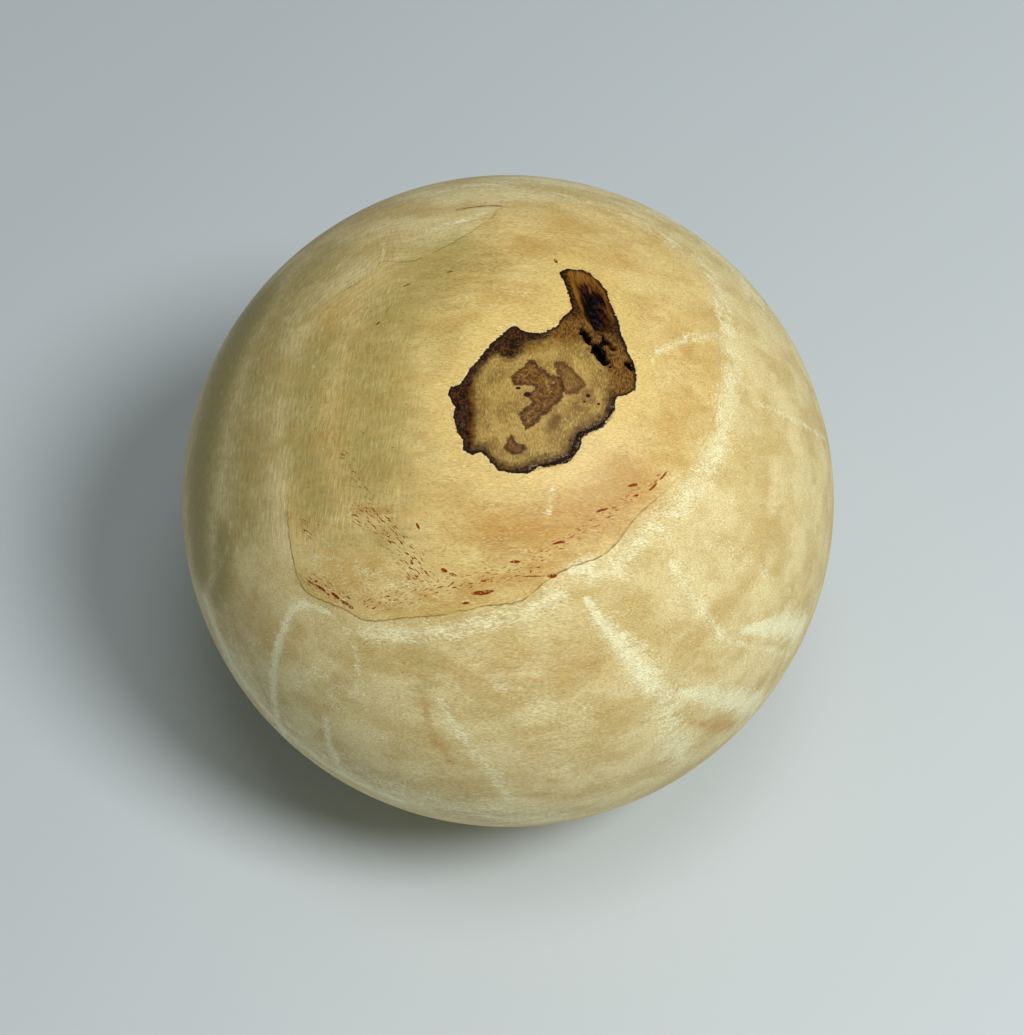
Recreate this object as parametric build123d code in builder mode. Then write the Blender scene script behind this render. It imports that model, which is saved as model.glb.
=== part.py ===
from build123d import *
import os
from math import hypot, sin

# A solid wooden ball, turned from one blank. A bark-ringed knot runs out near the top of it,
# and the bark there has left a shallow horn-shaped pocket, a few open pits and a short split.
# Origin: the ball's centre. +Z is up, -Y is the front.

# Driving dimensions, in millimetres and degrees.
ball_diameter = 80.0
knot_tilt = 16.0            # the knot's middle, from straight up towards the front
knot_turn = 5.0             # and from there towards +X
pocket_depth = 0.8          # every depth is measured below the turned surface
pit_depth = 2.2
seam_depth = 0.6
seam_width = 0.35           # the open split between the knot's bark and the wood round it

# Places on the ball are measured along its surface from the knot's middle: (right, up).
pocket_outline = [
    (4.1, 15.9),
    (5.3, 16.1),
    (6.7, 15.3),
    (7.6, 13.4),
    (8.3, 11.0),
    (8.6, 8.9),
    (7.9, 7.7),
    (6.6, 7.9),
    (5.7, 9.2),
    (5.1, 11.4),
    (4.5, 13.8),
]
seam_line = [
    (-0.6, -8.9),
    (1.7, -8.2),
    (3.4, -7.4),
    (4.0, -6.0),
    (4.6, -4.8),
    (6.2, -4.1),
    (7.7, -3.0),
    (8.2, -1.8),
]
# Each pit: its place, its half width, its half length, and its lean from upright.
pits = [
    ((5.4, 7.1), 0.4, 1.0, 25.0),
    ((6.9, 5.1), 0.8, 1.5, 30.0),
    ((8.1, 6.4), 0.25, 1.1, 40.0),
    ((10.4, 3.9), 0.3, 0.9, 35.0),
]

radius = ball_diameter / 2
knot_axis = Vector(0, 0, 1).rotate(Axis.Y, knot_turn).rotate(Axis.X, knot_tilt)
knot_right = Vector(1, 0, 0).rotate(Axis.Y, knot_turn).rotate(Axis.X, knot_tilt)
knot_plane = Plane(origin=knot_axis * radius, x_dir=knot_right, z_dir=knot_axis)


def on_plane(place):
    """Drop a place on the ball's surface square onto the plane that touches the knot's middle."""
    right, up = place
    along = hypot(right, up)
    shrink = radius * sin(along / radius) / along
    return (right * shrink, up * shrink)


# Each hollow is cut straight down from the knot's plane as far as its depth below the
# turned surface, so the hollow's floor follows the ball.
with BuildPart() as pocket_cutter:
    with BuildSketch(knot_plane):
        with BuildLine():
            Spline([on_plane(place) for place in pocket_outline], periodic=True)
        make_face()
    extrude(amount=-radius)
    Sphere(radius - pocket_depth, mode=Mode.SUBTRACT)

with BuildPart() as pit_cutter:
    with BuildSketch(knot_plane):
        for place, half_width, half_length, lean in pits:
            with Locations(on_plane(place)):
                Ellipse(half_width, half_length, rotation=lean)
    extrude(amount=-radius)
    Sphere(radius - pit_depth, mode=Mode.SUBTRACT)

with BuildPart() as seam_cutter:
    with BuildSketch(knot_plane):
        with BuildLine():
            Spline([on_plane(place) for place in seam_line])
        trace(line_width=seam_width)
    extrude(amount=-radius)
    Sphere(radius - seam_depth, mode=Mode.SUBTRACT)

# The sphere's own poles are turned to the front and back, clear of the knot's cuts.
with BuildPart() as ball:
    Sphere(radius, rotation=(90, 0, 0))
    add(pocket_cutter.part, mode=Mode.SUBTRACT)
    add(pit_cutter.part, mode=Mode.SUBTRACT)
    add(seam_cutter.part, mode=Mode.SUBTRACT)

ball.part.label = "ball"

os.makedirs("parts", exist_ok=True)
export_step(ball.part, "parts/ball.step")
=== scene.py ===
import math

import bpy
import numpy as np
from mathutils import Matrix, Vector, noise


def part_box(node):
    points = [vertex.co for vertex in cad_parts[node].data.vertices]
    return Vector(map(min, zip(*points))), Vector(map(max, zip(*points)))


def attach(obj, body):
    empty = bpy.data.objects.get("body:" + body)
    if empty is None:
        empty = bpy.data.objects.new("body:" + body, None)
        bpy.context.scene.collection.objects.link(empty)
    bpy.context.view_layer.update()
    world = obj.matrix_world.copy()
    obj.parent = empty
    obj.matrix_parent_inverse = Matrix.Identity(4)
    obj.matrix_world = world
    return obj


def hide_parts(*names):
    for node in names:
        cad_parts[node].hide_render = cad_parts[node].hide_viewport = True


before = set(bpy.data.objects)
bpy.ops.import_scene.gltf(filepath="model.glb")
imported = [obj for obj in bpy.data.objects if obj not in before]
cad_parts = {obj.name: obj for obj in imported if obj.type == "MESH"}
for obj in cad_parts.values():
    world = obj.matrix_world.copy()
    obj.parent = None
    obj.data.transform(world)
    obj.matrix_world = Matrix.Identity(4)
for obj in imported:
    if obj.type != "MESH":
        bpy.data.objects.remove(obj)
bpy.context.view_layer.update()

# ---- The turned ball ----
# One solid of pale maple, turned from a single blank and finely sanded, so its surface is a true
# sphere. The mesh is a cube's grid blown out to a sphere, with its cells gathered towards the knot.

MM = 0.001
low_corner, high_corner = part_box("ball")
ball_radius = (high_corner[0] - low_corner[0]) / 2 / MM
knot_tilt = math.radians(16)        # the knot's middle, from straight up towards the front
knot_turn = math.radians(5)         # and from there towards +X
rows_a_side = 126                   # even, so that no grid point falls opposite the knot
gather = 3.0                        # how much finer the cells are at the knot


def add(tree, kind, inputs=None, **settings):
    """Adds a node: its settings, then its inputs, each of which is a value or what feeds it."""
    node = tree.nodes.new(kind)
    for name, value in settings.items():
        setattr(node, name, value)
    for socket, value in (inputs or {}).items():
        if isinstance(value, bpy.types.Node):
            value = value.outputs[0]
        if isinstance(value, bpy.types.NodeSocket):
            tree.links.new(value, node.inputs[socket])
        else:
            node.inputs[socket].default_value = value
    return node


turning = bpy.data.node_groups.new("turned ball", "GeometryNodeTree")
turning_sizes = {
    "Radius": ("NodeSocketFloat", ball_radius * MM),
    "Rows": ("NodeSocketInt", rows_a_side),
    "Gather": ("NodeSocketFloat", gather),
    "Tilt": ("NodeSocketFloat", knot_tilt),
    "Turn": ("NodeSocketFloat", knot_turn),
    "Wood": ("NodeSocketMaterial", bpy.data.materials.new("maple, turned and waxed")),
}
wood = turning_sizes["Wood"][1]
size_sockets = {
    name: turning.interface.new_socket(name, in_out="INPUT", socket_type=kind)
    for name, (kind, value) in turning_sizes.items()
}
turning.interface.new_socket("Ball", in_out="OUTPUT", socket_type="NodeSocketGeometry")
sizes = add(turning, "NodeGroupInput").outputs
cube = add(turning, "GeometryNodeMeshCube", {
    "Size": (2, 2, 2),
    "Vertices X": sizes["Rows"],
    "Vertices Y": sizes["Rows"],
    "Vertices Z": sizes["Rows"],
})
mapped = add(turning, "GeometryNodeStoreNamedAttribute", {
    "Geometry": cube,
    "Name": "UVMap",
    "Value": cube.outputs["UV Map"],
}, data_type="FLOAT2", domain="CORNER")
place = add(turning, "GeometryNodeInputPosition")
angles = add(turning, "ShaderNodeVectorMath", {0: place, "Scale": math.pi / 4}, operation="SCALE")
evened = add(turning, "ShaderNodeVectorMath", {0: angles}, operation="TANGENT")
unit = add(turning, "ShaderNodeVectorMath", {0: evened}, operation="NORMALIZE")
parts = add(turning, "ShaderNodeSeparateXYZ", {0: unit}).outputs
from_below = add(turning, "ShaderNodeMath", {0: parts["Z"], 1: 1.0}, operation="ADD")
gathered = add(turning, "ShaderNodeMath", {0: from_below, 1: sizes["Gather"]}, operation="MULTIPLY")
across = add(turning, "ShaderNodeMath", {0: parts["X"], 1: gathered}, operation="DIVIDE")
along = add(turning, "ShaderNodeMath", {0: parts["Y"], 1: gathered}, operation="DIVIDE")
flat = add(turning, "ShaderNodeCombineXYZ", {"X": across, "Y": along})
squared = add(turning, "ShaderNodeVectorMath", {0: flat, 1: flat}, operation="DOT_PRODUCT")
height = add(turning, "ShaderNodeMath", {0: 1.0, 1: squared.outputs["Value"]}, operation="SUBTRACT")
half_height = add(turning, "ShaderNodeMath", {0: height, 1: 0.5}, operation="MULTIPLY")
lifted = add(turning, "ShaderNodeCombineXYZ", {"X": across, "Y": along, "Z": half_height})
round_place = add(turning, "ShaderNodeVectorMath", {0: lifted}, operation="NORMALIZE")
sized = add(turning, "ShaderNodeVectorMath", {0: round_place, "Scale": sizes["Radius"]}, operation="SCALE")
rounded = add(turning, "GeometryNodeSetPosition", {"Geometry": mapped, "Position": sized})
turn_angles = add(turning, "ShaderNodeCombineXYZ", {"Y": sizes["Turn"]})
turned = add(turning, "GeometryNodeTransform", {"Geometry": rounded, "Rotation": turn_angles})
tilt_angles = add(turning, "ShaderNodeCombineXYZ", {"X": sizes["Tilt"]})
tilted = add(turning, "GeometryNodeTransform", {"Geometry": turned, "Rotation": tilt_angles})
smooth = add(turning, "GeometryNodeSetShadeSmooth", {"Geometry": tilted})
real = add(turning, "GeometryNodeRealizeInstances", {"Geometry": smooth})
finished = add(turning, "GeometryNodeSetMaterial", {"Geometry": real, "Material": sizes["Wood"]})
add(turning, "NodeGroupOutput", {"Ball": finished})

ball = bpy.data.objects.new("figured_ball", bpy.data.meshes.new("figured_ball"))
bpy.context.collection.objects.link(ball)
turned_by = ball.modifiers.new("turned ball", "NODES")
turned_by.node_group = turning
for name, (kind, value) in turning_sizes.items():
    turned_by[size_sockets[name].identifier] = value
bpy.context.view_layer.update()
worked_out = ball.evaluated_get(bpy.context.evaluated_depsgraph_get())
ball.data = bpy.data.meshes.new_from_object(worked_out)
ball.modifiers.clear()

# Places on the ball are measured along its surface from the knot's middle, in mm: (right, up).
ball_points = np.empty(len(ball.data.vertices) * 3)
ball.data.vertices.foreach_get("co", ball_points)
ball_points = ball_points.reshape(-1, 3) / MM
knot_right = np.array([
    math.cos(knot_turn),
    math.sin(knot_turn) * math.sin(knot_tilt),
    -math.sin(knot_turn) * math.cos(knot_tilt),
])
knot_axis = np.array([
    math.sin(knot_turn),
    -math.cos(knot_turn) * math.sin(knot_tilt),
    math.cos(knot_turn) * math.cos(knot_tilt),
])
knot_up = np.cross(knot_axis, knot_right)
ways = ball_points / np.linalg.norm(ball_points, axis=1, keepdims=True)
on_plane = np.stack([ways @ knot_right, ways @ knot_up], 1)
off_axis = np.linalg.norm(on_plane, axis=1)
from_knot = np.arctan2(off_axis, ways @ knot_axis)
places = on_plane * (ball_radius * from_knot / np.maximum(off_axis, 1e-9))[:, None]

# ---- The knot and its bark ----
# A small branch ran out here: a tan heart, round it the branch's own bark, dark and ragged, and a
# horn of bark to one side, where the bark has left a shallow pocket, open pits and a short split.


def keep(name, values):
    """Keeps one number for each point of the ball's mesh, for the wood's material to read."""
    ball.data.attributes.new(name, "FLOAT", "POINT").data.foreach_set("value", values.astype(np.float32))


def curve(points, closed=False, steps=5):
    """A smooth line through the points: each stretch bends by the points on both sides of it."""
    points = np.array(points, float)
    if closed:
        stretches = np.vstack([points[-1], points, points[:2]])
    else:
        stretches = np.vstack([2 * points[0] - points[1], points, 2 * points[-1] - points[-2]])
    made = []
    for before, start, end, after in zip(stretches, stretches[1:], stretches[2:], stretches[3:]):
        bend = 2 * before - 5 * start + 4 * end - after
        twist = 3 * start - before - 3 * end + after
        for t in np.arange(steps) / steps:
            made.append(start + 0.5 * ((end - before) * t + bend * t**2 + twist * t**3))
    return np.array(made if closed else made + [points[-1]])


def distance(line, closed=False):
    """How far each place on the ball is from a line, in mm."""
    nearest = np.full(len(places), np.inf)
    for start, end in zip(line, np.roll(line, -1, 0) if closed else line[1:]):
        span = end - start
        share = ((places - start) @ span / max(span @ span, 1e-12)).clip(0, 1)
        nearest = np.minimum(nearest, np.linalg.norm(places - start - share[:, None] * span, axis=1))
    return nearest


def edge(outline):
    """How far each place is outside a closed outline, in mm, with less than 0 inside it."""
    inside = np.zeros(len(places), bool)
    for start, end in zip(outline, np.roll(outline, -1, 0)):
        crosses = (start[1] > places[:, 1]) != (end[1] > places[:, 1])
        rise = end[1] - start[1] if end[1] != start[1] else 1e-12
        met_at = start[0] + (places[:, 1] - start[1]) * (end[0] - start[0]) / rise
        inside ^= crosses & (places[:, 0] < met_at)
    return np.where(inside, -1, 1) * distance(outline, closed=True)


def step(values, low, high):
    """0 below low, 1 above high, and a smooth rise between them."""
    share = ((values - low) / (high - low)).clip(0, 1)
    return share * share * (3 - 2 * share)


def rough(grain_mm, seed):
    """A rough pattern over the ball, from -1 to 1, with lumps of about this size."""
    shift = Vector((seed, seed, seed))
    return np.array([noise.noise(Vector(point / grain_mm) + shift) for point in ball_points])


knot_outline = np.array([
    (2.7, 15.9), (3.5, 16.5), (5.0, 16.6), (6.4, 16.2), (7.4, 15.1), (8.2, 13.6), (8.6, 11.6),
    (9.3, 9.6), (9.7, 7.2), (10.4, 5.3), (11.2, 3.5), (11.1, 0.9), (10.1, 0.2), (8.8, -0.3),
    (8.5, -1.8), (7.2, -4.0), (4.9, -5.1), (4.3, -7.1), (3.4, -8.0), (1.7, -8.7), (0.0, -8.7),
    (-0.9, -9.4), (-2.6, -9.6), (-4.4, -9.3), (-5.5, -8.2), (-6.4, -7.2), (-7.6, -7.5), (-8.4, -6.9),
    (-8.5, -5.7), (-9.5, -4.0), (-9.5, -1.8), (-10.2, -0.4), (-9.9, 0.4), (-8.8, 0.8), (-7.0, 3.5),
    (-5.1, 5.9), (-2.8, 8.0), (-1.5, 7.2), (0.0, 6.9), (2.0, 7.9), (2.7, 9.1), (3.9, 10.5), (3.4, 13.3),
])
heart_outline = curve([
    (7.9, 0.6), (7.6, -1.3), (6.6, -3.2), (4.6, -4.2), (3.5, -5.6), (2.9, -7.0), (1.5, -7.6), (-0.8, -8.2),
    (-2.4, -8.7), (-4.1, -8.5), (-5.2, -7.6), (-5.8, -6.6), (-6.6, -6.5), (-7.5, -5.8), (-7.5, -3.0),
    (-7.5, 0.4), (-6.0, 3.3), (-4.8, 4.2), (-3.4, 3.7), (-2.2, 4.2), (-1.4, 5.6), (0.0, 6.1), (2.0, 6.9),
    (5.0, 6.6), (8.6, 4.4), (9.6, 2.2), (9.0, 0.9),
], closed=True, steps=3)
main_patch = curve([
    (-3.1, 1.2), (-2.8, 1.9), (-1.9, 2.6), (-1.3, 3.3), (-0.4, 3.2), (0.2, 2.4), (1.3, 1.8), (2.4, 1.5),
    (2.6, 0.2), (2.4, -1.0), (1.4, -2.0), (0.5, -3.0), (-0.5, -3.8), (-1.5, -4.6), (-1.9, -3.6),
    (-2.4, -3.0), (-1.6, -2.3), (-0.8, -1.6), (-1.2, -0.6), (-0.6, 0.3), (-1.6, 0.6), (-2.6, 0.6),
], closed=True, steps=3)
faint_patch = curve([
    (2.2, 3.3), (3.2, 2.6), (4.2, 1.8), (4.8, 0.8), (3.9, 0.2), (3.2, -0.2), (2.6, 0.8), (2.2, 1.9),
], closed=True, steps=3)
small_patch = curve([
    (-3.9, -6.6), (-3.1, -5.2), (-2.6, -6.0), (-1.6, -6.3), (-2.0, -7.2), (-3.3, -7.3),
], closed=True, steps=2)
pocket_outline = curve([
    (4.1, 15.9), (5.3, 16.1), (6.7, 15.3), (7.6, 13.4), (8.3, 11.0), (8.6, 8.9), (7.9, 7.7), (6.6, 7.9),
    (5.7, 9.2), (5.1, 11.4), (4.5, 13.8),
], closed=True)
core_outline = curve([
    (5.4, 14.4), (6.2, 13.7), (7.4, 13.0), (7.6, 11.4), (7.7, 9.6), (7.3, 8.2), (6.4, 8.2), (5.6, 9.9),
    (5.2, 11.8), (5.6, 13.0),
], closed=True)
seam_line = curve([
    (-0.6, -8.9), (1.7, -8.2), (3.4, -7.4), (4.0, -6.0), (4.6, -4.8), (6.2, -4.1), (7.7, -3.0), (8.2, -1.8),
])
# Each pit: its place, its half width, its half length, and its lean from upright.
pits = [
    ((5.4, 7.1), 0.4, 1.0, 25),
    ((6.9, 5.1), 0.8, 1.5, 30),
    ((8.1, 6.4), 0.25, 1.1, 40),
    ((10.4, 3.9), 0.3, 0.9, 35),
]
pocket_depth = 0.8
pit_depth = 2.2
pit_rough = 0.7                     # how far a pit's rim wanders
seam_depth = 0.6
seam_half_width = 0.175
seam_lip = 0.075                    # its edges are rounded over this far
bark_sunk = 0.12                    # the softer bark is sanded a little below the wood
bark_rough = 0.08

knot_edge = edge(knot_outline)
heart_edge = edge(heart_outline)
pocket_edge = edge(pocket_outline)
core_edge = edge(core_outline)
seam = distance(seam_line)
patch_edge = np.minimum(edge(main_patch), edge(small_patch))
faint_patch_edge = edge(faint_patch)
lumps = rough(0.5, 3.0)
pit_share = np.zeros(len(places))
for middle, half_width, half_length, lean in pits:
    offset = places - middle
    lean = math.radians(lean)
    beside = offset[:, 0] * math.cos(lean) + offset[:, 1] * math.sin(lean)
    length = offset[:, 1] * math.cos(lean) - offset[:, 0] * math.sin(lean)
    reach = np.hypot(beside / half_width, length / half_length) * (1 + pit_rough * lumps)
    pit_share = np.maximum(pit_share, step(-reach, -1.25, -0.75))

knot_share = step(-knot_edge, -0.1, 0.4)
bark_share = knot_share * step(heart_edge, -0.3, 0.5)
sunk = bark_share * (bark_sunk + bark_rough * lumps)
sunk += pocket_depth * step(-pocket_edge, -0.1, 1.0) * (1 + 0.3 * lumps)
sunk = np.maximum(sunk, pit_depth * pit_share * (1 + 0.15 * lumps))
seam_share = step(-seam, -seam_half_width - seam_lip, -seam_half_width + seam_lip)
sunk = np.maximum(sunk, seam_depth * seam_share)
ball_points -= ways * sunk[:, None]
ball.data.vertices.foreach_set("co", (ball_points * MM).ravel())
ball.data.update()

keep("knot_edge", knot_edge)
keep("heart_edge", heart_edge)
keep("pocket_edge", pocket_edge)
keep("core_edge", core_edge)
keep("seam", seam)
keep("patch_edge", patch_edge)
keep("faint_patch_edge", faint_patch_edge)
keep("pit", pit_share)

# ---- The figure of the wood round the knot ----
# The knot's own wood shows as a warmer zone with a thin dark line round it. Outside it the sapwood
# is paler, and the silky sheen where its fibres dive or curl is painted into its colour as pale
# streaks, with painted reflection along the ball's top and lower left rims.

zone_edge = edge(curve([
    (-3.5, 28.5), (3.4, 29.9), (13.2, 30.7), (20.0, 25.0), (23.4, 20.8), (23.4, 17.0), (22.8, 11.0),
    (22.7, 6.0), (21.7, 0.5), (20.1, -3.7), (17.5, -7.8), (14.0, -11.3), (11.6, -13.6), (9.7, -16.3),
    (7.6, -18.4), (4.0, -19.8), (1.1, -21.6), (-1.7, -23.9), (-5.9, -24.5), (-10.8, -25.5),
    (-15.8, -26.0), (-20.4, -26.3), (-23.5, -24.8), (-29.0, -22.3), (-30.4, -18.2), (-30.8, -13.2),
    (-30.0, -7.1), (-28.7, 1.6), (-28.1, 10.0), (-26.9, 14.0), (-23.0, 16.5), (-19.6, 18.4),
    (-18.7, 20.0), (-16.7, 19.2), (-14.0, 19.0), (-10.3, 21.0), (-7.1, 23.6), (-4.9, 26.2),
], closed=True, steps=4))
crack = distance(curve([(-9.6, 28.5), (-8.2, 28.8), (-5.6, 29.0), (-3.6, 28.8)]))


def strokes_of(brush_strokes):
    """Soft strokes laid on the ball: each is a line, its half widths at both ends and its strength."""
    laid = np.zeros(len(places))
    for points, first_width, last_width, strength in brush_strokes:
        line = curve(points)
        widths = np.linspace(first_width, last_width, len(line) - 1)
        for i, width in enumerate(widths):
            laid = np.maximum(laid, strength * np.exp(-(distance(line[i:i + 2]) / width) ** 2))
    return laid


# Painted sheen: pale streaks for the silky shine of the fibres, as rays that run out from the zone's
# lower right, the band along its edge and the loops on the left; and painted reflection, as a broad one
# over the far side and the rim on the lower left.
pale = strokes_of([
    ([(6.3, -23.4), (8.1, -25.7), (12.4, -29.9), (16.5, -33.8)], 0.5, 1.9, 0.95),
    ([(8.0, -25.5), (12.8, -29.4), (19.0, -35.4), (23.0, -42.0), (28.0, -47.0)], 1.3, 3.6, 0.6),
    ([(0.0, -36.0), (8.0, -39.5)], 1.5, 2.5, 0.3),
    ([(21.5, -34.9), (28.2, -35.8), (42.0, -38.2)], 0.7, 2.6, 1.0),
    ([(29.7, -26.0), (36.0, -25.2), (46.5, -24.6)], 0.6, 2.6, 1.0),
    ([(24.7, -26.5), (31.0, -28.0), (46.6, -29.4)], 0.4, 0.7, 0.6),
    ([(16.5, -18.4), (20.5, -22.7), (26.0, -26.9)], 0.8, 1.1, 0.55),
    ([(22.4, -15.9), (27.4, -16.5), (33.0, -19.0)], 0.9, 1.2, 0.3),
    ([(4.1, -19.9), (6.2, -19.6)], 0.7, 1.2, 0.9),
    ([(24.2, 21.3), (24.8, 17.8), (24.6, 7.5), (21.6, -5.0), (17.6, -10.8), (14.0, -14.6)], 1.6, 2.0, 0.5),
    ([(23.5, 17.0), (23.8, 12.0)], 0.7, 0.7, 0.6),
    ([(13.4, -15.0), (10.2, -18.6), (6.8, -20.6)], 1.6, 1.4, 0.55),
    ([(-20.5, -27.9), (-14.3, -27.9), (-7.0, -26.8), (-1.0, -25.2), (3.2, -22.8)], 1.3, 1.4, 0.6),
    ([(28.9, 2.9), (35.1, 3.2), (42.4, 4.0), (48.0, 5.5)], 0.4, 0.5, 0.6),
    ([(13.2, 5.2), (15.0, 7.0), (18.5, 9.1), (21.9, 10.4)], 0.5, 0.9, 0.5),
    ([(-2.0, 33.0), (9.2, 31.5), (15.9, 28.7), (21.5, 23.9)], 1.8, 1.8, 0.35),
    ([(-12.0, 36.0), (0.0, 39.0), (14.0, 40.0), (28.0, 32.0), (34.0, 24.0)], 4.5, 4.5, 0.5),
    ([(-28.0, -17.0), (-24.0, -20.5), (-16.0, -22.0), (-12.0, -22.0)], 3.0, 2.5, 0.26),
    ([(-25.6, -25.2), (-28.5, -24.1), (-31.5, -24.7), (-34.6, -28.8), (-38.4, -35.3), (-44.5, -50.0)],
     0.4, 1.1, 0.95),
    ([(-25.5, -25.1), (-22.8, -28.7), (-22.6, -34.2), (-23.4, -36.5)], 0.5, 0.8, 0.45),
    ([(-29.7, -41.4), (-30.5, -46.6), (-30.6, -54.8)], 0.7, 1.2, 0.8),
    ([(-40.9, -11.6), (-44.3, -16.7), (-52.1, -20.4)], 0.6, 1.2, 0.35),
    ([(-50.0, -33.0), (-43.0, -44.0), (-33.0, -52.0), (-18.0, -57.0), (-4.0, -60.0), (8.0, -62.0)],
     6.0, 5.0, 0.5),
    ([(-53.4, -22.0), (-50.0, -34.0), (-44.0, -43.5), (-35.0, -52.8), (-20.0, -59.8)], 1.6, 1.6, 0.9),
    ([(-34.0, -36.0), (-28.0, -33.0), (-27.0, -38.0)], 1.2, 1.6, 0.35),
    ([(-4.0, -34.0), (2.0, -36.0)], 1.2, 1.6, 0.35),
    ([(-11.3, -36.6), (-8.7, -41.9), (-4.3, -48.0), (-0.6, -55.0)], 0.8, 1.5, 0.5),
    ([(-28.5, -2.3), (-27.3, 4.0), (-26.0, 10.8)], 0.5, 0.5, 0.2),
    ([(-31.1, -1.7), (-30.5, -7.0), (-31.1, -11.9)], 0.5, 0.5, 0.2),
    ([(-13.0, 24.2), (-9.0, 25.6), (-5.5, 27.4)], 0.9, 0.8, 0.5),
    ([(-18.7, 19.9), (-18.7, 24.0)], 0.25, 0.25, 0.6),
    ([(-25.9, -13.1), (-22.6, -14.0), (-21.9, -12.3)], 0.5, 0.5, 0.3),
    ([(1.7, -10.9), (1.0, -14.2)], 0.35, 0.5, 0.35),
])
# Warmer, browner wood: below and right of the knot, along the zone's lower edge, and outside it.
warm = strokes_of([
    ([(14.5, 11.0), (18.0, 4.0), (16.0, -2.0)], 3.5, 3.5, 0.35),
    ([(11.0, -10.0), (3.0, -14.0), (-4.0, -16.0)], 5.4, 4.4, 0.78),
    ([(10.0, -14.0), (0.0, -20.0), (-8.0, -22.0)], 2.4, 1.8, 0.6),
    ([(10.0, 20.0), (2.0, 21.0), (-10.0, 13.0)], 3.6, 3.6, 0.45),
    ([(-21.0, -12.6), (-17.0, -13.4)], 0.8, 0.8, 0.7),
    ([(2.4, -11.2), (2.2, -14.6)], 0.5, 0.7, 0.9),
    ([(25.3, -39.9), (31.0, -41.2), (37.0, -42.0)], 0.7, 1.8, 0.7),
    ([(12.0, -38.0), (2.0, -42.0), (4.0, -50.0)], 4.5, 4.5, 0.3),
    ([(-13.4, -36.7), (-12.9, -41.3), (-10.2, -46.4)], 0.8, 1.2, 0.55),
    ([(-30.5, -27.0), (-30.8, -29.0)], 1.0, 1.0, 0.4),
    ([(33.0, -10.0), (30.0, -18.0)], 4.0, 4.0, 0.25),
    ([(20.0, -27.0), (24.0, -31.0)], 3.0, 3.0, 0.35),
    ([(10.0, -31.0), (-2.0, -32.0), (-11.0, -33.0)], 5.0, 5.0, 0.4),
    ([(14.0, -42.0), (2.0, -44.0)], 4.0, 4.0, 0.3),
])
# Olive wood down the left, with painted shade: darker towards the left, away from the lamps.
olive_and_shade = strokes_of([
    ([(-26.0, 8.0), (-28.0, -2.0), (-26.0, -12.0)], 5.0, 4.0, 0.65),
    ([(-40.0, 22.0), (-46.0, 8.0), (-50.0, -6.0), (-52.0, -16.0)], 7.0, 5.0, 0.95),
    ([(-28.0, 24.0), (-34.0, 14.0), (-37.0, 0.0), (-38.0, -12.0)], 7.0, 6.0, 0.6),
    ([(-10.0, 18.0), (-18.0, 8.0), (-19.0, -8.0)], 7.0, 7.0, 0.7),
    ([(-16.0, -16.5), (-24.0, -16.0)], 3.0, 3.0, 0.5),
    ([(-10.0, 8.0), (-14.0, 0.0), (-14.0, -8.0)], 5.0, 5.0, 0.35),
    ([(-14.0, -30.0), (-12.0, -33.0), (-14.0, -36.0)], 2.5, 2.5, 0.4),
    ([(-43.0, -14.0), (-45.0, -19.0), (-48.0, -22.0)], 3.5, 3.0, 0.8),
])
# Bark has stained the knot's left rim and the horn's foot amber, and parts of the heart purple-brown.
rim = strokes_of([
    ([(-8.2, 0.4), (-8.0, -3.0), (-7.8, -5.6)], 1.3, 1.0, 0.9),
    ([(-1.0, 5.0), (4.0, 6.4)], 0.9, 0.9, 0.6),
])
foot = strokes_of([
    ([(2.0, 7.6), (5.4, 8.0), (7.6, 6.0), (9.3, 4.0), (10.0, 1.6)], 1.6, 2.6, 1.0),
])
stain = strokes_of([
    ([(1.4, -4.1), (1.8, -3.2)], 0.9, 0.9, 0.75),
    ([(4.4, -1.4), (5.6, 0.2)], 1.2, 1.2, 0.6),
    ([(-3.6, 4.6), (-2.4, 5.0)], 0.9, 0.9, 0.6),
])
# Flecks of old cambium gather along the zone's lower edge and in a slanting cluster on the left.
flecked = strokes_of([
    ([(-28.5, -20.5), (-23.0, -23.6)], 1.0, 1.0, 1.0),
    ([(-20.6, -13.6), (-17.6, -15.0), (-15.4, -17.9), (-13.6, -20.6)], 1.7, 1.9, 1.0),
    ([(-28.5, -13.5), (-27.5, -15.5)], 0.8, 0.8, 0.9),
    ([(-22.5, -6.5), (-19.5, -11.5)], 1.2, 1.2, 0.6),
])
flecked_along = strokes_of([
    ([(-20.0, -24.3), (-10.0, -22.0), (0.0, -20.0)], 1.6, 1.4, 0.8),
    ([(0.0, -19.0), (8.0, -13.6), (14.0, -8.8)], 1.0, 0.6, 0.85),
])
# The wood is clearer within a few mm of the knot, and its fibres stand upright on the knot's left.
halo_width = 3.0
halo = np.exp(-((knot_edge.clip(0, None) / halo_width) ** 2)) * step(knot_edge, 0.0, 0.5)
upright = step(-places[:, 0], 10.0, 18.0) * step(places[:, 1], -22.0, -12.0) * step(-from_knot, -1.4, -1.1)

# The zone's edge is a crisp line below and at the pale patch, faint on the right, and lost elsewhere.
by_patch = strokes_of([
    ([(-23.0, 16.5), (-18.7, 20.0), (-14.0, 19.0), (-7.1, 23.6), (-3.5, 28.5)], 1.2, 1.2, 0.7),
])
on_right = 0.35 * step(places[:, 0], 14.0, 20.0) * step(-places[:, 1], -16.0, -10.0)
crisp = np.maximum(np.maximum(step(-places[:, 1], 6.0, 16.0), on_right), by_patch)
sharpest = 0.08                     # mm over which the zone's colour changes, where the line is crisp
softest = 3.0                       # and how much more where it is lost
blur = sharpest + softest * (1 - crisp) ** 2

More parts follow.
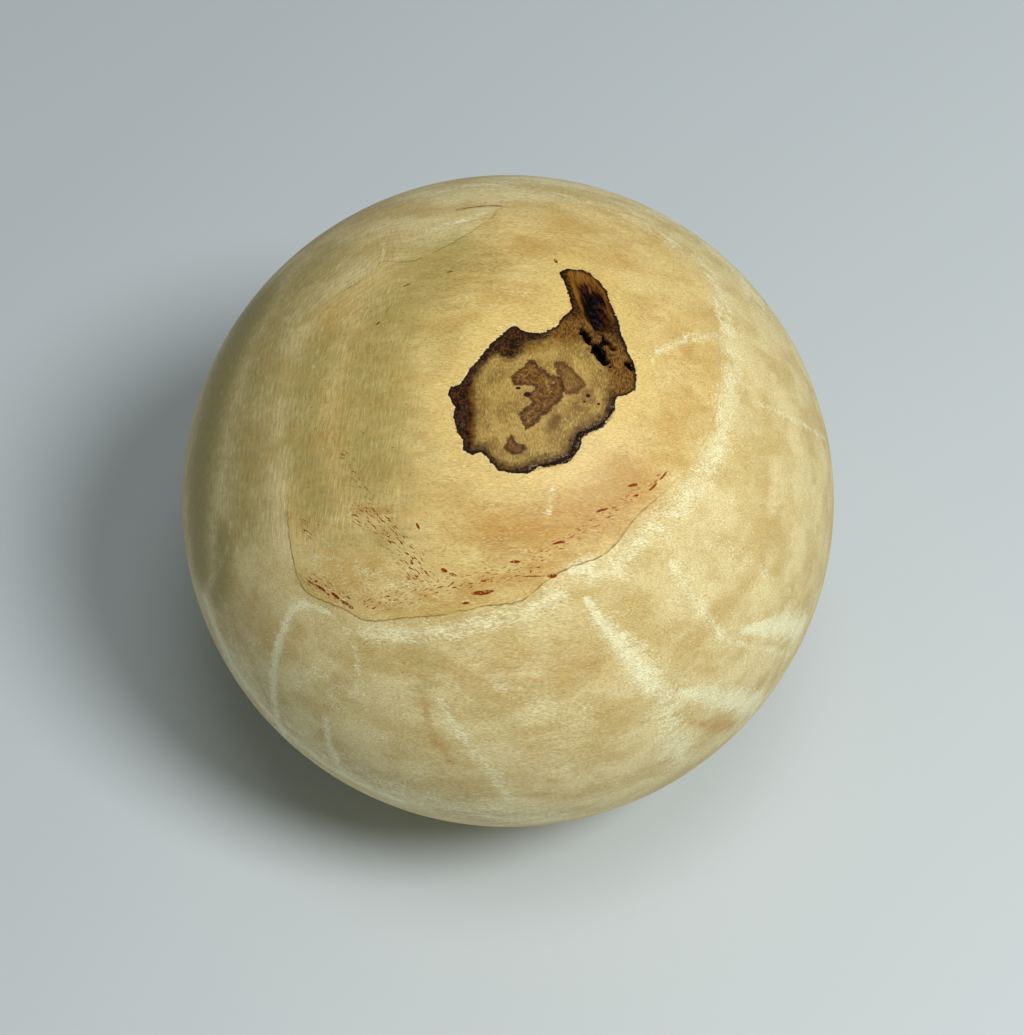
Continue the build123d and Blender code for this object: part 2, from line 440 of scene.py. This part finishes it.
for name, values in {
    "zone_edge": zone_edge,
    "crisp": crisp,
    "blur": blur,
    "crack": crack,
    "pale": pale,
    "warm": warm,
    "olive_and_shade": olive_and_shade,
    "halo": halo,
    "upright": upright,
    "rim": rim,
    "foot": foot,
    "stain": stain,
    "horn_top": step(places[:, 1], 8.0, 12.0),
    "flecked": flecked,
    "flecked_along": flecked_along,
}.items():
    keep(name, values)
chart = ball.data.attributes.new("chart", "FLOAT_VECTOR", "POINT")
flat_places = np.column_stack([places, np.zeros(len(places))])
chart.data.foreach_set("vector", flat_places.astype(np.float32).ravel())

# ---- The maple's finish ----
# Maple sanded smooth, then oiled and waxed: a satin skin with a faint sheen at grazing angles, and
# below it short pale and dark fibre strokes, soft mottling and a few red-brown flecks.


def srgb(code):
    """A colour written as the eye sees it, as the linear numbers that a shader takes."""
    channels = [int(code[i:i + 2], 16) / 255 for i in (1, 3, 5)]
    return tuple(c / 12.92 if c <= 0.04045 else ((c + 0.055) / 1.055) ** 2.4 for c in channels) + (1.0,)


# Sizes in mm. Real maple fibres are much finer: these are its ray strokes and bundles of fibres, the
# finest that show.
fibre_width = 0.15
fibre_length = 0.55
standing_length = 3 * fibre_length  # where fibres stand upright they run longer
bundle_size = (3.5, 0.9, 0.9)
mottle_size = (8.0, 4.8, 4.8)
cloud_size = (3.4, 1.3, 1.3)
swirl_size = (2.5, 2.5, 2.5)
swirl_reach = 0.9                   # how far a swirl moves the fibres, times a pattern about 0
ring_spacing = 5.0                  # between the blank's own growth rings
ring_wander = 14.0                  # how far these stray, in radians of a turn, times a pattern
growth_spacing = 0.8                # between the fine growth lines on the knot's left
pore_size = (0.5, 0.13, 0.13)
dash_size = (0.8, 0.2, 1.0)
speck_size = (0.6, 0.3, 1.0)
ragged_size = (0.9, 0.9, 0.9)       # the lumps that fray each edge
grit_size = (0.3, 0.3, 0.3)
fibre_lean = math.radians(-12)      # how the upright fibres lean there
fleck_lean = math.radians(-38)      # and the slanting rows of flecks
edge_lean = math.radians(18)        # and the flecks along the zone's lower edge

wood.use_nodes = True
paint = wood.node_tree
paint.nodes.clear()
object_place = add(paint, "ShaderNodeTexCoord").outputs["Object"]
in_mm = add(paint, "ShaderNodeVectorMath", {0: object_place, "Scale": 1 / MM}, operation="SCALE").outputs[0]
chart_place = add(paint, "ShaderNodeAttribute", attribute_name="chart").outputs["Vector"]
kept = {
    name: add(paint, "ShaderNodeAttribute", attribute_name=name).outputs["Fac"]
    for name in ball.data.attributes.keys() if ball.data.attributes[name].data_type == "FLOAT"
}


def grain(lumps, detail=2.0, roughness=0.55, over=in_mm):
    """A random pattern about 0, mostly within 0.25 of it, with lumps of these sizes in mm."""
    sized = add(paint, "ShaderNodeVectorMath", {0: over, 1: lumps}, operation="DIVIDE")
    looks = {"Vector": sized, "Scale": 1.0, "Detail": detail, "Roughness": roughness}
    made = add(paint, "ShaderNodeTexNoise", looks)
    return add(paint, "ShaderNodeMath", {0: made, 1: 0.5}, operation="SUBTRACT")


def where(*spans, most=1.0):
    """A mask: most where each pattern has reached the second end of its span, 0 before the first."""
    share = most
    for pattern, start, full in spans:
        ends = {0: pattern, 1: start, 2: full, 3: 0.0, 4: share}
        share = add(paint, "ShaderNodeMapRange", ends, interpolation_type="SMOOTHSTEP").outputs[0]
    return share


def stained(under, tone, *spans, most=1.0):
    """A colour with a tone laid over it where the spans say; each is a hex value or what gives it."""
    under = srgb(under) if isinstance(under, str) else under
    tone = srgb(tone) if isinstance(tone, str) else tone
    laid = add(paint, "ShaderNodeMix", {0: where(*spans, most=most), 6: under, 7: tone}, data_type="RGBA")
    return laid.outputs[2]


def rippled(pattern, spacing, by, wander):
    """Fine lines this far apart along a pattern in mm, which another pattern makes wander."""
    turns = add(paint, "ShaderNodeMath", {0: pattern, 1: 2 * math.pi / spacing}, operation="MULTIPLY")
    moved = add(paint, "ShaderNodeMath", {0: by, 1: wander, 2: turns}, operation="MULTIPLY_ADD")
    return add(paint, "ShaderNodeMath", {0: moved}, operation="SINE")


# The fibres: strokes along X through the whole blank, and longer upright ones on the knot's left.
swirl_lumps = add(paint, "ShaderNodeVectorMath", {0: in_mm, 1: swirl_size}, operation="DIVIDE")
swirl_noise = add(paint, "ShaderNodeTexNoise", {"Vector": swirl_lumps, "Scale": 1.0, "Detail": 2.0})
about_half = {0: swirl_noise.outputs["Color"], 1: (0.5, 0.5, 0.5)}
swirl = add(paint, "ShaderNodeVectorMath", about_half, operation="SUBTRACT")
swirl_by = add(paint, "ShaderNodeVectorMath", {0: swirl, "Scale": swirl_reach}, operation="SCALE")
wavy = add(paint, "ShaderNodeVectorMath", {0: in_mm, 1: swirl_by}, operation="ADD").outputs[0]
wavy_chart = add(paint, "ShaderNodeVectorMath", {0: chart_place, 1: swirl_by}, operation="ADD")
leaning, slanting, along_edge = [
    add(paint, "ShaderNodeVectorRotate", {"Vector": wavy_chart, "Angle": -lean}, rotation_type="Z_AXIS")
    for lean in (fibre_lean, fleck_lean, edge_lean)
]
lying = grain((fibre_length, fibre_width, fibre_width), 2.0, 0.6, wavy)
standing = grain((fibre_width, standing_length, 1.0), 2.0, 0.6, leaning)
strokes = add(paint, "ShaderNodeMix", {0: kept["upright"], 2: lying, 3: standing}).outputs[0]
bundles = grain(bundle_size, 3.0, over=wavy)
mottle = grain(mottle_size, 3.0)
ragged = grain(ragged_size, 4.0, 0.65)
grit = grain(grit_size, 2.0, 0.7)

# Kept distances and soft shapes, each moved in and out at random by this many times a pattern.
fray = {
    "zone_edge": (ragged, 0.5),
    "knot_edge": (ragged, 0.9),
    "heart_edge": (ragged, 1.6),
    "pocket_edge": (ragged, 0.6),
    "patch_edge": (ragged, 1.3),
    "faint_patch_edge": (ragged, 1.6),
    "rim": (ragged, 0.8),
    "foot": (ragged, 0.6),
    "stain": (ragged, 1.2),
    "crack": (ragged, 0.2),
    "pit": (ragged, 2.2),
    "warm": (bundles, 1.1),
    "olive_and_shade": (bundles, 0.7),
    "pale": (bundles, 1.3),
}
frayed = {
    name: add(paint, "ShaderNodeMath", {0: pattern, 1: by, 2: kept[name]}, operation="MULTIPLY_ADD")
    for name, (pattern, by) in fray.items()
}
stroke_break = 1.1                  # how much the fibre strokes break up the painted sheen streaks
broken = {0: strokes, 1: stroke_break, 2: frayed["pale"]}
painted_sheen = add(paint, "ShaderNodeMath", broken, operation="MULTIPLY_ADD")
outward = add(paint, "ShaderNodeMath", {0: kept["blur"], 1: -1.0}, operation="MULTIPLY")

# Sapwood outside the zone, warmer wood inside it, and the soft blots and painted sheen streaks on both.
clouds = grain(cloud_size, 5.0, 0.75, wavy)
sapwood = stained("#ead89c", "#d4bb78", (mottle, -0.14, 0.16))
sapwood = stained(sapwood, "#c9a962", (clouds, 0.0, 0.24), most=0.4)
sapwood = stained(sapwood, "#efe2ae", (clouds, -0.04, -0.24), most=0.35)
zone_wood = stained("#e6cc86", "#d2b066", (mottle, -0.14, 0.16))
zone_wood = stained(zone_wood, "#c2954c", (clouds, 0.0, 0.22), most=0.5)
zone_wood = stained(zone_wood, "#efdc9c", (clouds, -0.04, -0.22), most=0.5)
colour = stained(sapwood, zone_wood, (frayed["zone_edge"], kept["blur"], outward))
colour = stained(colour, "#c4964a", (frayed["warm"], 0.08, 1.0))
# Olive tone and painted shade down the left side.
colour = stained(colour, "#aa9a55", (frayed["olive_and_shade"], 0.05, 1.0))
colour = stained(colour, "#e2c477", (kept["halo"], 0.0, 1.0), (kept["zone_edge"], 0.0, -1.0))
# Painted sheen and painted reflection: the pale streaks lightening the colour.
colour = stained(colour, "#f9f2c2", (painted_sheen, 0.12, 0.95), most=0.95)

# Growth lines: fine ones beside the zone's left edge, and the blank's own broad soft rings.
growth = rippled(kept["zone_edge"], growth_spacing, mottle, ring_wander)
colour = stained(colour, "#a48d50", (growth, 0.2, 1.0), (kept["upright"], 0.2, 1.0), most=0.22)
# The blank's pith runs along X, below and behind the ball's middle, and its rings are long spindles.
pith_taper = 0.12                   # how fast the rings close in along X
to_pith = (0.0, -24.0, 30.0)        # what brings the pith to the middle, in mm
around_pith = {0: in_mm, 1: (pith_taper, 1.0, 1.0), 2: to_pith}
from_pith = add(paint, "ShaderNodeVectorMath", around_pith, operation="MULTIPLY_ADD")
pith_away = add(paint, "ShaderNodeVectorMath", {0: from_pith}, operation="LENGTH").outputs["Value"]
rings = rippled(pith_away, ring_spacing, mottle, ring_wander)
colour = stained(colour, "#b3925a", (rings, 0.3, 1.0), most=0.12)

# The zone's thin dark line, the crack by the pale patch, and fine dark pores.
zone_line = [
    (frayed["zone_edge"], -0.22, -0.1),
    (frayed["zone_edge"], 0.07, -0.02),
    (kept["crisp"], 0.0, 1.0),
    (bundles, -0.35, 0.1),
]
colour = stained(colour, "#92783a", *zone_line, most=0.85)
colour = stained(colour, "#8a5a35", (frayed["crack"], 0.3, 0.08), most=0.85)
pores = grain(pore_size, 1.0, over=wavy)
colour = stained(colour, "#a5803f", (pores, 0.1, 0.2), most=0.5)
stroke_light = add(paint, "ShaderNodeMapRange", {0: strokes, 1: -0.2, 2: 0.2, 3: 0.78, 4: 1.16})
colour = add(paint, "ShaderNodeHueSaturation", {"Color": colour, "Value": stroke_light}).outputs[0]

# Red-brown flecks of old cambium: small dashes where they cluster, and larger ones each in place.
dashes = grain(dash_size, 1.0, over=slanting)
colour = stained(colour, "#8a3f00", (dashes, 0.09, 0.14), (kept["flecked"], 0.15, 0.85))
dashes_along = grain(dash_size, 1.0, over=along_edge)
colour = stained(colour, "#8e4400", (dashes_along, 0.1, 0.15), (kept["flecked_along"], 0.15, 0.85))
# A few finer rust specks where the olive tone and painted shade lie inside the zone.
specks = grain(speck_size, 1.0, over=slanting)
speck_spans = [(specks, 0.19, 0.24), (kept["olive_and_shade"], 0.1, 0.5), (kept["zone_edge"], 0.0, -2.0)]
colour = stained(colour, "#a3642a", *speck_spans, most=0.8)

fleck = bpy.data.node_groups.new("fleck", "ShaderNodeTree")
for name, kind in (("Place", "Vector"), ("Middle", "Vector"), ("Half size", "Vector"), ("Lean", "Float")):
    fleck.interface.new_socket(name, in_out="INPUT", socket_type="NodeSocket" + kind)
fleck.interface.new_socket("Share", in_out="OUTPUT", socket_type="NodeSocketFloat")
given = add(fleck, "NodeGroupInput").outputs
away = add(fleck, "ShaderNodeVectorMath", {0: given["Place"], 1: given["Middle"]}, operation="SUBTRACT")
turning_back = {"Vector": away, "Angle": given["Lean"]}
laid_flat = add(fleck, "ShaderNodeVectorRotate", turning_back, rotation_type="Z_AXIS", invert=True)
in_sizes = add(fleck, "ShaderNodeVectorMath", {0: laid_flat, 1: given["Half size"]}, operation="DIVIDE")
reach = add(fleck, "ShaderNodeVectorMath", {0: in_sizes}, operation="LENGTH").outputs["Value"]
share = add(fleck, "ShaderNodeMapRange", {0: reach, 1: 1.25, 2: 0.7}, interpolation_type="SMOOTHSTEP")
add(fleck, "NodeGroupOutput", {"Share": share})

# Each fleck: its place, its half length and half width in mm, and its lean in degrees.
flecks = [
    ((-6.0, -22.8), 1.45, 0.26, 9), ((-10.6, -20.3), 0.45, 0.22, -22), ((-9.5, -20.8), 0.5, 0.2, -18),
    ((1.9, -20.8), 0.6, 0.24, 4), ((-0.4, -20.9), 1.4, 0.07, 2), ((-8.0, -24.1), 0.45, 0.14, 0),
    ((-28.0, -21.2), 0.5, 0.15, -30), ((-26.6, -22.0), 0.8, 0.2, -36), ((-24.6, -23.0), 0.7, 0.22, -34),
    ((-23.4, -23.9), 0.7, 0.22, -30), ((-22.5, -24.5), 0.4, 0.2, -28), ((-2.4, -19.3), 0.7, 0.16, 0),
    ((2.5, -17.0), 0.8, 0.14, 14), ((7.3, -13.2), 0.8, 0.15, 18), ((10.9, -10.1), 0.65, 0.18, 14),
    ((11.3, -11.2), 0.3, 0.14, 10), ((13.3, -10.1), 0.8, 0.13, 47), ((14.6, -8.7), 0.7, 0.12, 47),
    ((-13.6, -15.2), 0.14, 0.4, 25), ((-10.1, 16.1), 0.4, 0.1, 8), ((-15.2, 14.9), 0.5, 0.1, 14),
    ((-18.6, 9.8), 0.3, 0.12, 40), ((5.4, -0.4), 0.28, 0.22, 0), ((6.6, -1.3), 0.16, 0.14, 0),
    ((5.0, -1.1), 0.14, 0.12, 0), ((-2.4, 0.1), 0.3, 0.16, 0), ((-1.4, -0.7), 0.35, 0.3, 0),
    ((2.4, 17.6), 0.2, 0.4, 20),
]
fleck_reach = 0.5                   # how far a swirl moves a fleck's outline, times a pattern about 0
swirl_little = add(paint, "ShaderNodeVectorMath", {0: swirl, "Scale": fleck_reach}, operation="SCALE")
fleck_place = add(paint, "ShaderNodeVectorMath", {0: chart_place, 1: swirl_little}, operation="ADD")
fleck_share = 0.0
for middle, half_length, half_width, lean in flecks:
    one = add(paint, "ShaderNodeGroup", node_tree=fleck)
    one.inputs["Middle"].default_value = (*middle, 0)
    one.inputs["Half size"].default_value = (half_length, half_width, 1)
    one.inputs["Lean"].default_value = math.radians(lean)
    paint.links.new(fleck_place.outputs[0], one.inputs["Place"])
    fleck_share = add(paint, "ShaderNodeMath", {0: fleck_share, 1: one}, operation="MAXIMUM")

# The knot's heart: tan wood with hair-fine mottling and wavy lines that follow its rim, stained in
# places, with brown patches.
contour_spacing = 0.5
contour_wander = 11.0
hair_size = (0.15, 0.4, 0.4)
tan_size = (2.4, 2.4, 2.4)
patch_lump_size = (1.6, 1.1, 1.1)
contours = rippled(kept["heart_edge"], contour_spacing, ragged, contour_wander)
hair = grain(hair_size, 2.0, 0.6, wavy)
heart = stained("#b3944f", "#94763a", (grain(tan_size, 3.0), -0.12, 0.12))
heart = stained(heart, "#7b6034", (contours, 0.2, 1.0), (kept["heart_edge"], -3.2, -0.6), most=0.4)
heart = stained(heart, "#6b5026", (hair, 0.0, 0.18), most=0.5)
heart = stained(heart, "#cdb06c", (hair, -0.04, -0.18), most=0.6)
heart = stained(heart, "#644020", (frayed["stain"], 0.1, 0.9), most=0.85)
heart = stained(heart, "#7d541a", (frayed["rim"], 0.1, 0.9))
lumpy_patches = grain(patch_lump_size, 3.0, 0.6)
patch_wood = stained("#7a5424", "#47290e", (grit, -0.08, 0.1))
patch_wood = stained(patch_wood, "#4e260c", (lumpy_patches, 0.0, 0.16), most=0.65)
patch_lines = rippled(kept["patch_edge"], growth_spacing, ragged, ring_wander)
patch_wood = stained(patch_wood, "#8c6029", (patch_lines, 0.5, 1.0), most=0.45)
faint_wood = stained("#86622f", "#5d3f1a", (hair, -0.1, 0.12))
heart = stained(heart, faint_wood, (frayed["faint_patch_edge"], 0.5, 0.0), most=0.85)
faint_rim = [(frayed["faint_patch_edge"], 0.45, 0.15), (frayed["faint_patch_edge"], -0.25, 0.05)]
heart = stained(heart, "#4d2f12", *faint_rim, most=0.7)
heart = stained(heart, patch_wood, (frayed["patch_edge"], 0.2, -0.2), (ragged, 0.2, 0.06), most=0.97)
patch_rim = [(frayed["patch_edge"], 0.16, -0.02), (frayed["patch_edge"], -0.4, -0.12)]
heart = stained(heart, "#2f1808", *patch_rim, most=0.6)

# Bark round it, dark and ragged outside and soft within, with painted grey glints by the split.
bark_wood = stained("#573617", "#241206", (grit, -0.12, 0.08))
bark_wood = stained(bark_wood, "#130904", (ragged, 0.0, 0.16))
bark_here = where((frayed["heart_edge"], -1.0, 0.6))
knot = stained(heart, bark_wood, (frayed["heart_edge"], -1.0, 0.6))
foot_wood = stained("#86602a", "#54340f", (hair, -0.08, 0.1))
foot_wood = stained(foot_wood, "#3a2210", (ragged, 0.06, 0.18), most=0.8)
knot = stained(knot, foot_wood, (frayed["foot"], 0.2, 0.85))

# The horn: amber wood laid bare in the pocket, blackened in its core, then the pits and the split,
# whose dark insides are painted shade.
horn_lean = math.radians(68)        # turns the chart so that the horn's grain runs along its X
horn_grain_size = (2.0, 0.35, 1.0)
core_fray = 5.0                     # how far the grain draws out the core's edge, times a pattern
turned_by_horn = {"Vector": chart_place, "Angle": horn_lean}
along_horn = add(paint, "ShaderNodeVectorRotate", turned_by_horn, rotation_type="Z_AXIS")
horn_grain = grain(horn_grain_size, 3.0, 0.65, along_horn)
horn_wood = stained("#8f5f1c", "#5c3710", (horn_grain, -0.08, 0.18))
knot = stained(knot, horn_wood, (frayed["pocket_edge"], 0.6, 0.2), (kept["horn_top"], 0.0, 1.0))
streaked = {0: horn_grain, 1: core_fray, 2: kept["core_edge"]}
near_core = add(paint, "ShaderNodeMath", streaked, operation="MULTIPLY_ADD")
knot = stained(knot, "#3a160a", (near_core, 1.2, 0.1), (kept["pocket_edge"], 0.3, -0.3))
knot = stained(knot, "#080303", (near_core, 0.35, -0.35), (kept["pocket_edge"], 0.5, 0.0))
knot = stained(knot, "#170a04", (kept["knot_edge"], -0.5, -0.1), most=0.85)
# Painted glints: grey specks beside the split; then painted shade, nearly black, down its groove.
knot = stained(knot, "#8f8275", (kept["seam"], 0.7, 0.25), (grit, 0.02, 0.12), most=0.85)
knot = stained(knot, "#170d07", (kept["seam"], 0.2, 0.08), most=0.85)
# Painted shade: each pit dark brown round its mouth and near black inside.
knot = stained(knot, "#2b1508", (kept["pit"], 0.0, 0.3), most=0.8)
knot = stained(knot, "#060303", (frayed["pit"], 0.2, 0.45), (kept["pit"], 0.05, 0.3))
knot_inside = where((frayed["knot_edge"], 0.06, -0.06))
pit_here = where((kept["pit"], 0.1, 0.4))
knot_here = add(paint, "ShaderNodeMath", {0: knot_inside, 1: pit_here}, operation="MAXIMUM")
colour = stained(colour, knot, (knot_here, 0.0, 1.0))
colour = stained(colour, "#823600", (fleck_share, 0.0, 1.0), (grit, -0.24, -0.02))
colour = stained(colour, "#2a150a", (fleck_share, 0.0, 0.8), (knot_here, 0.0, 1.0))

fibre_height = 0.02
bark_height = 0.12
fibre_bumps = {"Strength": 0.3, "Distance": fibre_height * MM, "Height": strokes}
fibre_relief = add(paint, "ShaderNodeBump", fibre_bumps)
bark_relief = add(paint, "ShaderNodeBump", {
    "Strength": where((knot_here, 0.0, 1.0), (bark_here, 0.0, 1.0)),
    "Distance": bark_height * MM,
    "Height": grit,
    "Normal": fibre_relief,
})
# Bark, heart and flecks take less of a shine than the clear wood does.
wood_sheen = 0.4
knot_sheen = 0.1
unshiny = add(paint, "ShaderNodeMath", {0: knot_here, 1: fleck_share}, operation="MAXIMUM")
sheen = add(paint, "ShaderNodeMapRange", {0: unshiny, 3: wood_sheen, 4: knot_sheen})
skin = add(paint, "ShaderNodeBsdfPrincipled", {
    "Base Color": colour,
    "Roughness": 0.5,
    "IOR": 1.45,
    "Specular IOR Level": sheen,
    "Normal": bark_relief,
})
add(paint, "ShaderNodeOutputMaterial", {"Surface": skin})

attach(ball, "root")
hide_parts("ball")

# ---- The table under it ----
# A wide flat sheet of plain pale matt board, which the ball rests on. Its colour is painted a little
# lighter towards the near right: painted light, for the lamps' fall-off across it.

floor_half = 1.5                    # in metres, as the other sizes below are
floor_corners = [
    (x * floor_half, y * floor_half, low_corner[2])
    for x, y in ((-1, -1), (1, -1), (1, 1), (-1, 1))
]
floor = bpy.data.objects.new("table", bpy.data.meshes.new("table"))
floor.data.from_pydata(floor_corners, [], [(0, 1, 2, 3)])
bpy.context.collection.objects.link(floor)
sheet = bpy.data.materials.new("matt pale sheet")
sheet.use_nodes = True
tint = sheet.node_tree
tint.nodes.clear()
on_sheet = add(tint, "ShaderNodeTexCoord").outputs["Object"]
# Painted light: the sheet's colour lightens towards the near right, where the lamps fall.
lighter_way = (0.87, -0.5, 0)
darkest_at = -0.1
lightest_at = 0.12
towards = {0: on_sheet, 1: lighter_way}
near_right = add(tint, "ShaderNodeVectorMath", towards, operation="DOT_PRODUCT").outputs["Value"]
painted_light_falloff = add(tint, "ShaderNodeMapRange", {0: near_right, 1: darkest_at, 2: lightest_at})
tones = {0: painted_light_falloff, 6: srgb("#bec6ca"), 7: srgb("#d3dbdd")}
tone = add(tint, "ShaderNodeMix", tones, data_type="RGBA").outputs[2]
matt = {"Base Color": tone, "Roughness": 0.7, "Specular IOR Level": 0.2}
add(tint, "ShaderNodeOutputMaterial", {"Surface": add(tint, "ShaderNodeBsdfPrincipled", matt)})
floor.data.materials.append(sheet)

# ---- Light and camera ----
# One soft studio lamp from the near right, a weaker one nearly overhead, and an even pale room.


def way(side, height):
    """The direction this many degrees round from +X and this many up from level."""
    side, height = math.radians(side), math.radians(height)
    return Vector((math.cos(height) * math.cos(side), math.cos(height) * math.sin(side), math.sin(height)))


lamp_away = 0.8                     # from the ball's middle, in metres
# Each lamp: its name, degrees round from +X and up from level, metres across, and watts.
lamps = [
    ("main lamp", -40, 58, 0.24, 4.55),
    ("top lamp", -70, 80, 0.3, 1.35),
]
for name, side, height, wide, watts in lamps:
    lamp = bpy.data.objects.new(name, bpy.data.lights.new(name, "AREA"))
    lamp.data.shape = "DISK"
    lamp.data.size = wide
    lamp.data.energy = watts
    lamp.location = way(side, height) * lamp_away
    lamp.rotation_euler = way(side, height).to_track_quat("Z", "Y").to_euler()
    bpy.context.collection.objects.link(lamp)

room = bpy.data.worlds.new("pale room")
room.use_nodes = True
room.node_tree.nodes.clear()
seen = add(room.node_tree, "ShaderNodeLightPath")
room_light = 0.17                   # how bright the room is as a light
room_seen = 0.75                    # and as a backdrop
by_ray = {0: seen.outputs["Is Camera Ray"], 3: room_light, 4: room_seen}
level = add(room.node_tree, "ShaderNodeMapRange", by_ray)
air = add(room.node_tree, "ShaderNodeBackground", {"Color": srgb("#e7f1ed"), "Strength": level})
add(room.node_tree, "ShaderNodeOutputWorld", {"Surface": air})
bpy.context.scene.world = room

# The camera looks down on the ball's front from nine of its radii away. Its shift sets the ball a
# little left of the frame's middle and a little above it.
camera_way = way(-90, 56)
camera_away = 9 * ball_radius * MM
camera = bpy.data.objects.new("camera", bpy.data.cameras.new("camera"))
camera.data.lens = 101.4
camera.data.clip_start = 0.01
camera.location = camera_way * camera_away
camera.rotation_euler = camera_way.to_track_quat("Z", "Y").to_euler()
camera.data.shift_x = 0.003865
camera.data.shift_y = -0.015942
bpy.context.collection.objects.link(camera)
bpy.context.scene.camera = camera
bpy.context.scene.view_settings.view_transform = "Standard"
